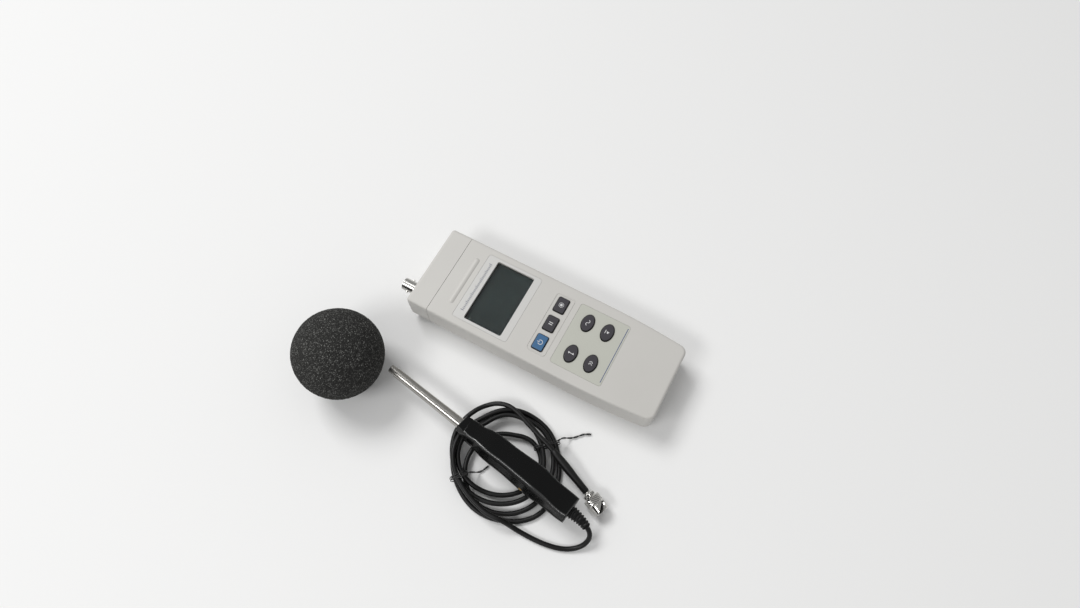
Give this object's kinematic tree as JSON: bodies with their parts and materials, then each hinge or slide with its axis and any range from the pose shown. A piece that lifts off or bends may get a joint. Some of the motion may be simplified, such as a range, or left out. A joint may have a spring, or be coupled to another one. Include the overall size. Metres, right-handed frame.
{
  "type": "sound level meter",
  "caption": "Handheld digital sound level meter with keys and display, a microphone probe on a coiled cord with a bayonet plug, and a ball-shaped foam windscreen.",
  "frame": {"origin": "middle of the meter's flat back face, which lies on the table", "axes": "+X to the right when reading the display, +Y along the meter to the end with the socket, +Z out of the front face, up from the table"},
  "size_m": [0.1736, 0.2527, 0.066],
  "materials": {
    "housing": "fine satin texture, warm light grey",
    "display_overlay": "smooth printed film",
    "keypad_overlay": "smooth printed film, greenish grey",
    "window": "clear, glossy",
    "lcd": "dark grey-green, off",
    "lcd_holder": "black",
    "zebra": "elastomer",
    "board": "green solder mask",
    "mat": "silicone",
    "key_dark": "satin charcoal",
    "key_blue": "satin blue",
    "screw": "zinc plated",
    "insert": "turned",
    "nickel": "bright nickel plating",
    "ptfe": "white",
    "gold": "gold plated",
    "battery": "plain wrapped block",
    "snap": "black",
    "lead_red": "soft sleeve",
    "lead_black": "soft sleeve",
    "handle": "fine satin texture, black",
    "steel": "bright, drawn along its length",
    "capsule": "turned",
    "relief": "ribbed, black",
    "cord": "satin black sleeve",
    "tie": "paper-covered wire",
    "foam": "open-cell foam, charcoal",
    "trimmer": "slotted"
  },
  "bodies": {
    "housing": {"front_cover": "housing", "rear_cover": "housing", "end_cap": "housing", "display_label": "display_overlay", "keypad_label": "keypad_overlay", "display_window": "window", "lcd_panel": "lcd", "lcd_holder": "lcd_holder", "zebra_strip": "zebra", "circuit_board": "board", "key_mat": "mat", "board_screw": "screw", "case_screw": "screw", "tripod_insert": "insert", "battery": "battery", "battery_snap": "snap", "lead_red": "lead_red", "lead_black": "lead_black", "jack_body": "nickel", "jack_insulator": "ptfe", "jack_contact": "gold", "jack_washer": "nickel", "jack_nut": "nickel", "jack_lead": "lead_black"},
    "door": {"battery_door": "housing"},
    "probe": {"handle_upper": "handle", "handle_lower": "handle", "handle_screw": "screw", "preamp_board": "board", "mic_tube": "steel", "mic_capsule": "capsule", "mic_grid": "steel", "strain_relief": "relief", "cord_exit": "cord", "cord_coil": "cord", "cable_tie": "tie", "cord_lead": "cord", "plug_boot": "relief", "plug_body": "nickel", "plug_insulator": "ptfe", "plug_pin": "gold"},
    "trimmer": {"cal_trimmer": "trimmer"},
    "plug_collar": {"plug_ring": "nickel"},
    "foam_ball": {"windscreen": "foam"},
    "record_key": {"record_button": "key_dark"},
    "hold_key": {"hold_button": "key_dark"},
    "power_key": {"power_button": "key_blue"},
    "weighting_key": {"weighting_button": "key_dark"},
    "range_key": {"range_button": "key_dark"},
    "max_hold_key": {"max_hold_button": "key_dark"},
    "response_key": {"response_button": "key_dark"}
  },
  "joints": [
    {"name": "record_press", "type": "slide", "parent": "housing", "child": "record_key", "axis": [0, 0, -1], "range_m": [0, 0.0008], "stiffness_N_per_m": 1500, "springref_m": -0.0006},
    {"name": "hold_press", "type": "slide", "parent": "housing", "child": "hold_key", "axis": [0, 0, -1], "range_m": [0, 0.0008], "stiffness_N_per_m": 1500, "springref_m": -0.0006},
    {"name": "power_press", "type": "slide", "parent": "housing", "child": "power_key", "axis": [0, 0, -1], "range_m": [0, 0.0008], "stiffness_N_per_m": 1500, "springref_m": -0.0006},
    {"name": "weighting_press", "type": "slide", "parent": "housing", "child": "weighting_key", "axis": [0, 0, -1], "range_m": [0, 0.0008], "stiffness_N_per_m": 1500, "springref_m": -0.0006},
    {"name": "range_press", "type": "slide", "parent": "housing", "child": "range_key", "axis": [0, 0, -1], "range_m": [0, 0.0008], "stiffness_N_per_m": 1500, "springref_m": -0.0006},
    {"name": "max_hold_press", "type": "slide", "parent": "housing", "child": "max_hold_key", "axis": [0, 0, -1], "range_m": [0, 0.0008], "stiffness_N_per_m": 1500, "springref_m": -0.0006},
    {"name": "response_press", "type": "slide", "parent": "housing", "child": "response_key", "axis": [0, 0, -1], "range_m": [0, 0.0008], "stiffness_N_per_m": 1500, "springref_m": -0.0006},
    {"name": "door_slide", "type": "slide", "parent": "housing", "child": "door", "axis": [0, -1, 0], "range_m": [0, 0.04]},
    {"name": "probe_lift", "type": "slide", "parent": "housing", "child": "probe", "axis": [0, 0, 1], "range_m": [0, 0.07]},
    {"name": "trimmer_turn", "type": "hinge", "parent": "probe", "child": "trimmer", "pos_m": [-0.11241, -0.0408, 0.01918], "axis": [-0.9271, 0.1535, 0.342], "range_deg": [-130, 130]},
    {"name": "collar_turn", "type": "hinge", "parent": "probe", "child": "plug_collar", "pos_m": [-0.09532, -0.09216, 0.00657], "axis": [-0.3765, -0.9233, -0.0766], "continuous": true},
    {"name": "windscreen_lift", "type": "slide", "parent": "housing", "child": "foam_ball", "axis": [0, 0, 1], "range_m": [0, 0.08]}
  ]
}
